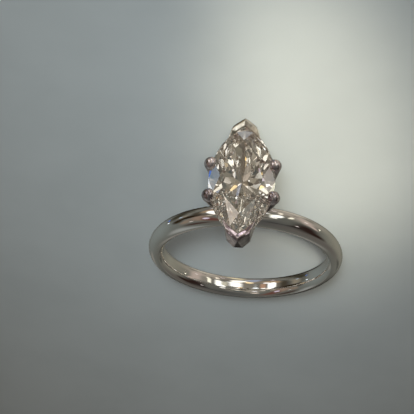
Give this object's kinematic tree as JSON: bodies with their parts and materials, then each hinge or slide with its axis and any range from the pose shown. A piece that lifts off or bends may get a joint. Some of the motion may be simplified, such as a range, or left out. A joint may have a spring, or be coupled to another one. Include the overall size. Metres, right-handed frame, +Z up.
{
  "type": "diamond solitaire ring",
  "caption": "Solitaire ring: a comfort-fit shank and a tall head, whose V-prongs and beaded prongs hold a long marquise brilliant, lying on its side.",
  "frame": {"origin": "on the surface that the ring lies on, under the middle of its box", "axes": "+Z up from the surface, -Y towards the stone's side, X across the shank; the finger axis leans 11.8 degrees from +Z towards +Y"},
  "size_m": [0.0196, 0.027, 0.0122],
  "materials": {
    "white_metal": "high polish",
    "diamond": "cut and polished facets"
  },
  "bodies": {
    "root": {"shank_and_head": "white_metal", "marquise_stone": "diamond"}
  },
  "joints": []
}
